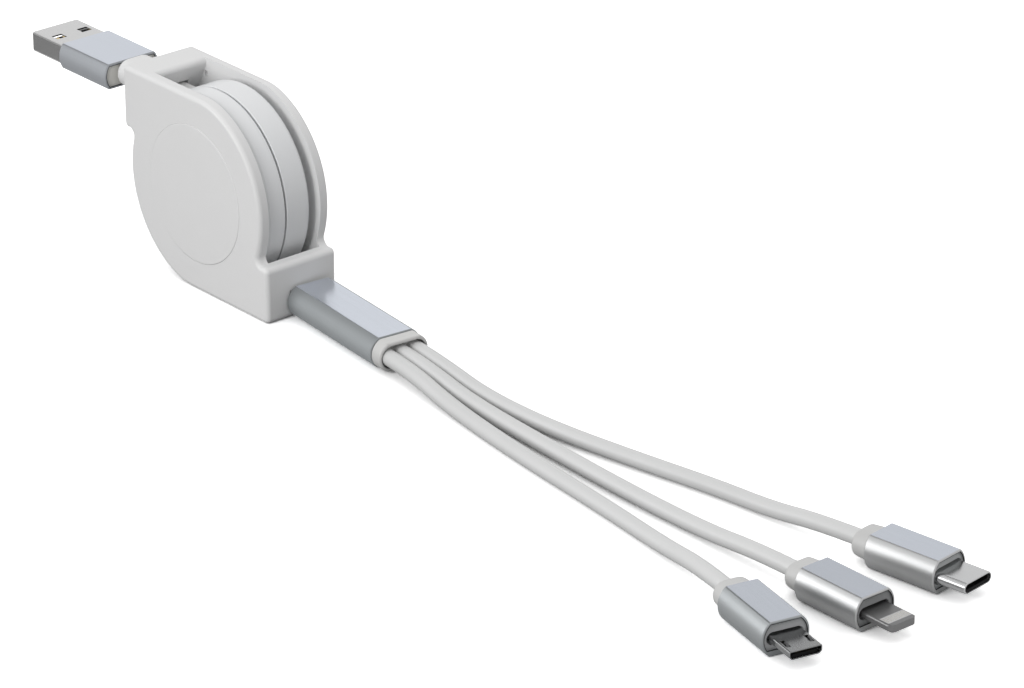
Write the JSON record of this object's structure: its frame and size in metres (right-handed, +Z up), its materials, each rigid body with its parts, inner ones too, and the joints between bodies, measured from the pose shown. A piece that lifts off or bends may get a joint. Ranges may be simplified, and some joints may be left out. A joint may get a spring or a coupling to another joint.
{
  "type": "retractable charging cable",
  "caption": "Spring-reel housing that pays a flat ribbon out both ways: to a type-A plug on one side, and to a metal splitter with micro, tab and type-C tails on the other.",
  "frame": {"origin": "on the ground, straight under the reel's axis, midway between the two plates", "axes": "+X along the cable from the type-A plug to the tails, +Y along the reel's axis from the front plate to the rear plate, +Z up"},
  "size_m": [0.2686, 0.0501, 0.0434],
  "materials": {
    "housing_white": "satin",
    "drum_white": "satin",
    "reel_grey": "matte",
    "ribbon_white": "satin",
    "tail_white": "satin",
    "nose_white": "satin",
    "boot_milky": "satin",
    "sleeve_aluminium": "satin",
    "plug_nickel": "satin",
    "blade_grey": "satin",
    "pad_light": "satin",
    "bezel_grey": "satin",
    "core_beige": "matte",
    "insulator_dark": "matte",
    "contact_gold": "polished",
    "spring_steel": "satin"
  },
  "bodies": {
    "housing": {"frame_front": "housing_white", "frame_rear": "housing_white", "casing_front": "drum_white", "casing_rear": "drum_white", "arbor": "spring_steel"},
    "reel": {"reel_hub": "reel_grey", "reel_flange": "reel_grey", "ribbon_winding": "ribbon_white", "mainspring": "spring_steel"},
    "ratchet_ball": {"ratchet_ball": "spring_steel"},
    "type_a_plug": {"a_contacts": "contact_gold", "a_core": "core_beige", "a_ribbon": "ribbon_white", "a_shell": "plug_nickel", "a_sleeve": "sleeve_aluminium", "a_tongue": "insulator_dark"},
    "splitter": {"split_sleeve": "sleeve_aluminium", "split_collar": "nose_white", "split_nose": "nose_white", "split_ribbon": "ribbon_white", "tail_micro": "tail_white", "tail_tab": "tail_white", "tail_c": "tail_white", "c_bezel": "bezel_grey", "c_boot": "boot_milky", "c_contacts": "contact_gold", "c_insert": "insulator_dark", "c_shell": "plug_nickel", "c_sleeve": "sleeve_aluminium", "micro_bezel": "bezel_grey", "micro_boot": "boot_milky", "micro_contacts": "contact_gold", "micro_latches": "plug_nickel", "micro_shell": "plug_nickel", "micro_sleeve": "sleeve_aluminium", "micro_tongue": "insulator_dark", "tab_bezel": "bezel_grey", "tab_blade": "blade_grey", "tab_boot": "boot_milky", "tab_contacts": "contact_gold", "tab_pads": "pad_light", "tab_sleeve": "sleeve_aluminium"}
  },
  "joints": [
    {"name": "reel_turn", "type": "hinge", "parent": "housing", "child": "reel", "pos_m": [0, 0, 0.0217], "axis": [0, -1, 0], "range_deg": [0, 1440], "stiffness_Nm_per_rad": 0.001, "springref_deg": -360, "deforming": ["mainspring"]},
    {"name": "type_a_pull", "type": "slide", "parent": "housing", "child": "type_a_plug", "axis": [-1, 0, 0], "range_m": [0, 0.32], "deforming": ["a_ribbon"]},
    {"name": "splitter_pull", "type": "slide", "parent": "housing", "child": "splitter", "axis": [1, 0, 0], "range_m": [0, 0.32], "deforming": ["split_ribbon"]},
    {"name": "ball_slide", "type": "slide", "parent": "housing", "child": "ratchet_ball", "axis": [0, 0, 1], "range_m": [0, 0.0033]}
  ],
  "couplings": [
    {"joint": "type_a_pull", "follows": "reel_turn", "m_per_rad": 0.0127},
    {"joint": "splitter_pull", "follows": "reel_turn", "m_per_rad": 0.0127}
  ]
}
